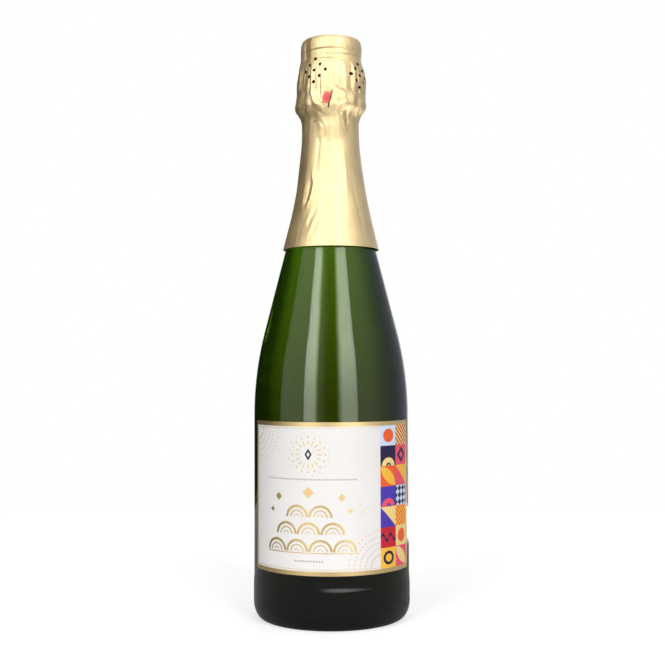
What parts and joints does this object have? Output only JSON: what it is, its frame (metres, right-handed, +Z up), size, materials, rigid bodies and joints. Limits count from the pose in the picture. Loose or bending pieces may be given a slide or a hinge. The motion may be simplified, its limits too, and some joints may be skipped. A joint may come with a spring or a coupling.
{
  "type": "sparkling wine bottle",
  "caption": "Dark green sparkling wine bottle with a corked and wired mouth, a pleated gold foil over the neck, and a paper label round the front of the body.",
  "frame": {"origin": "centre of the bottle's base, on the surface that it stands on", "axes": "+Z up along the bottle's axis, -Y out of the front label, +X to the right of someone who faces the label"},
  "size_m": [0.0874, 0.0874, 0.325],
  "materials": {
    "green_glass": "gloss",
    "wine": "gloss",
    "label_paper": "satin",
    "gold_foil": "satin",
    "red_tape": "satin",
    "pressed_cork": "matte",
    "whole_cork": "matte",
    "cap_lacquer": "gloss",
    "cage_wire": "satin"
  },
  "bodies": {
    "bottle": {"glass_bottle": "green_glass", "wine": "wine", "front_label": "label_paper", "neck_foil": "gold_foil"},
    "cork": {"cork_body": "pressed_cork", "cork_disc_upper": "whole_cork", "cork_disc_lower": "whole_cork"},
    "cage": {"cap_plate": "cap_lacquer", "cage_frame": "cage_wire", "cage_belt": "cage_wire"},
    "loop": {"cage_loop": "cage_wire"},
    "hood": {"hood_skirt": "gold_foil", "tear_strip": "gold_foil", "hood_top_disc": "gold_foil"},
    "tab": {"tear_tab": "red_tape"}
  },
  "joints": [
    {"name": "cork_draw", "type": "slide", "parent": "bottle", "child": "cork", "axis": [0, 0, 1], "range_m": [0, 0.06]},
    {"name": "cage_lift", "type": "slide", "parent": "cork", "child": "cage", "axis": [0, 0, 1], "range_m": [0, 0.045], "deforming": ["cage_belt"]},
    {"name": "hood_lift", "type": "slide", "parent": "cage", "child": "hood", "axis": [0, 0, 1], "range_m": [0, 0.15]},
    {"name": "loop_fold", "type": "hinge", "parent": "cage", "child": "loop", "pos_m": [-0.01733, 0.00306, 0.28805], "axis": [-0.1736, -0.9848, 0], "range_deg": [0, 90]},
    {"name": "tab_peel", "type": "hinge", "parent": "hood", "child": "tab", "pos_m": [-0.00023, -0.02067, 0.28785], "axis": [0, 0, 1], "range_deg": [0, 120]}
  ],
  "couplings": [
    {"joint": "loop_fold", "follows": "hood_lift", "rad_per_m": 10.472}
  ]
}
